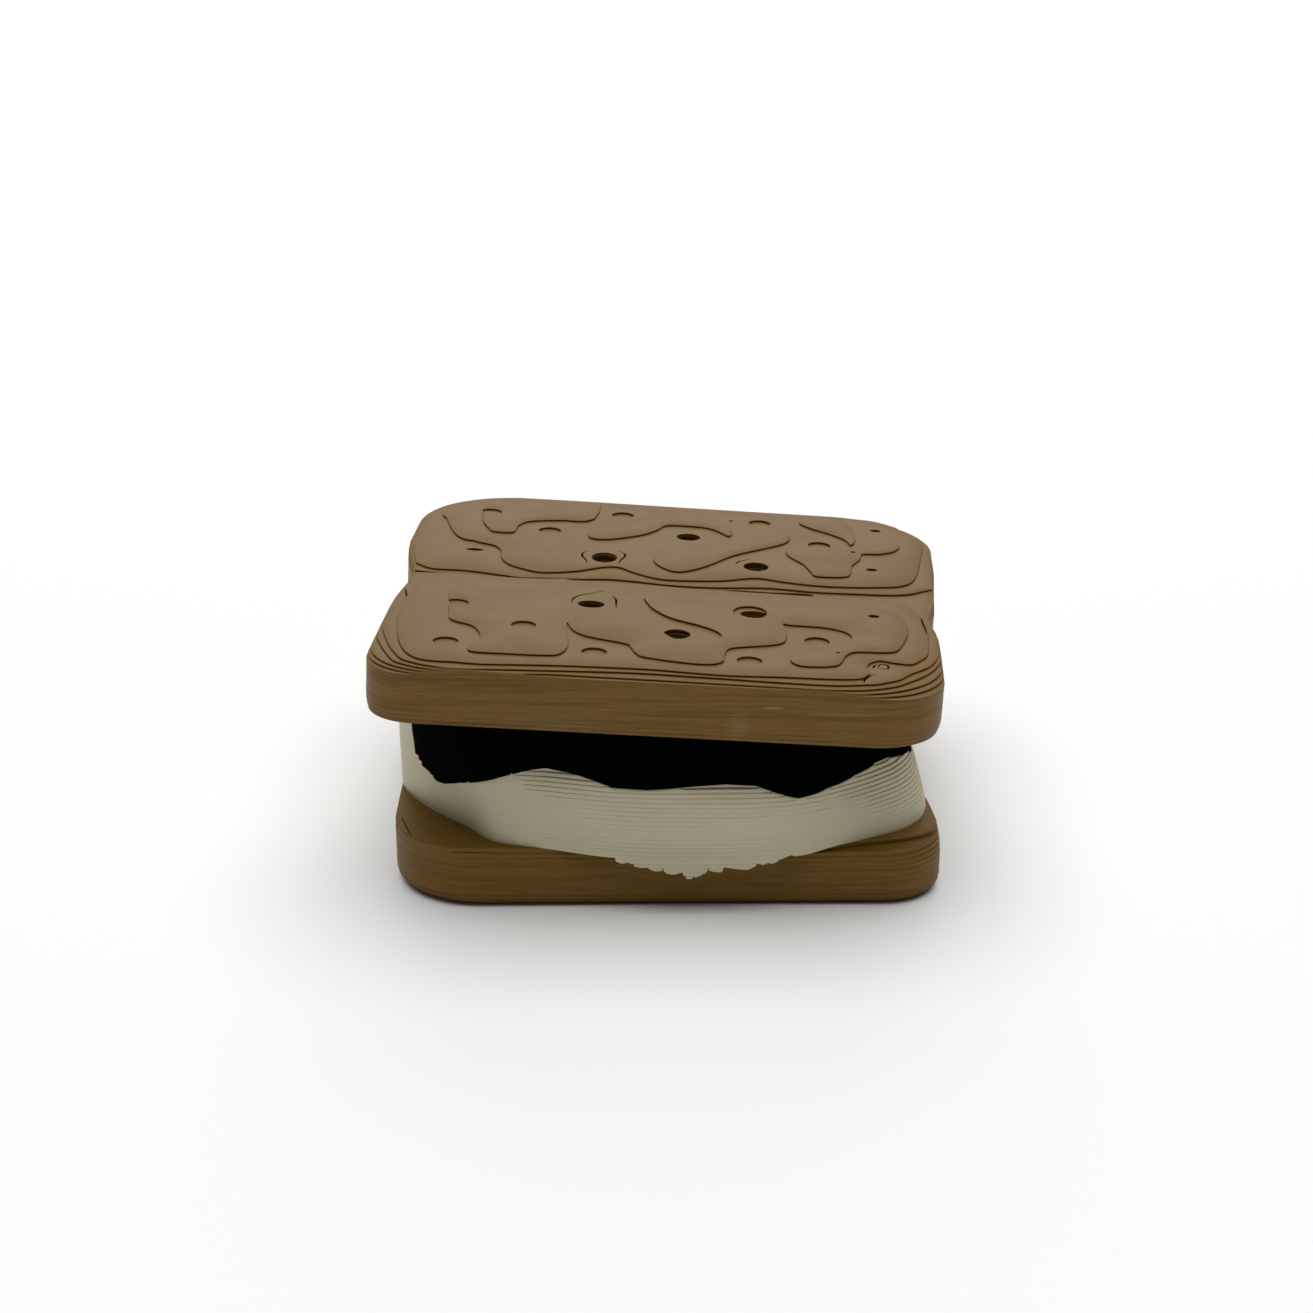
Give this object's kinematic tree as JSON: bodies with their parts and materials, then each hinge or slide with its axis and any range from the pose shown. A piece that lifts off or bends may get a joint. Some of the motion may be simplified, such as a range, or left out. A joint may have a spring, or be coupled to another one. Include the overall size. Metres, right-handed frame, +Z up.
{
  "type": "toy s'more",
  "caption": "Plastic toy s'more: square crackers, the upper one slightly turned and tilted, over a dripping chocolate slab and a sagging marshmallow.",
  "frame": {"origin": "centre of the bounding box's bottom face, on the surface the stack stands on", "axes": "+Z up through the stack, -Y to the front, where the marshmallow sags over the lower cracker, +X to the right seen from the front; the snap lines of the crackers run along X"},
  "size_m": [0.0334, 0.0333, 0.0157],
  "materials": {
    "cracker": "matte brown printed plastic with fine layer lines",
    "marshmallow": "matte cream printed plastic with fine layer lines",
    "chocolate": "satin near-black printed plastic"
  },
  "bodies": {
    "root": {"cracker_bottom": "cracker", "marshmallow": "marshmallow", "chocolate": "chocolate", "cracker_top": "cracker"}
  },
  "joints": []
}
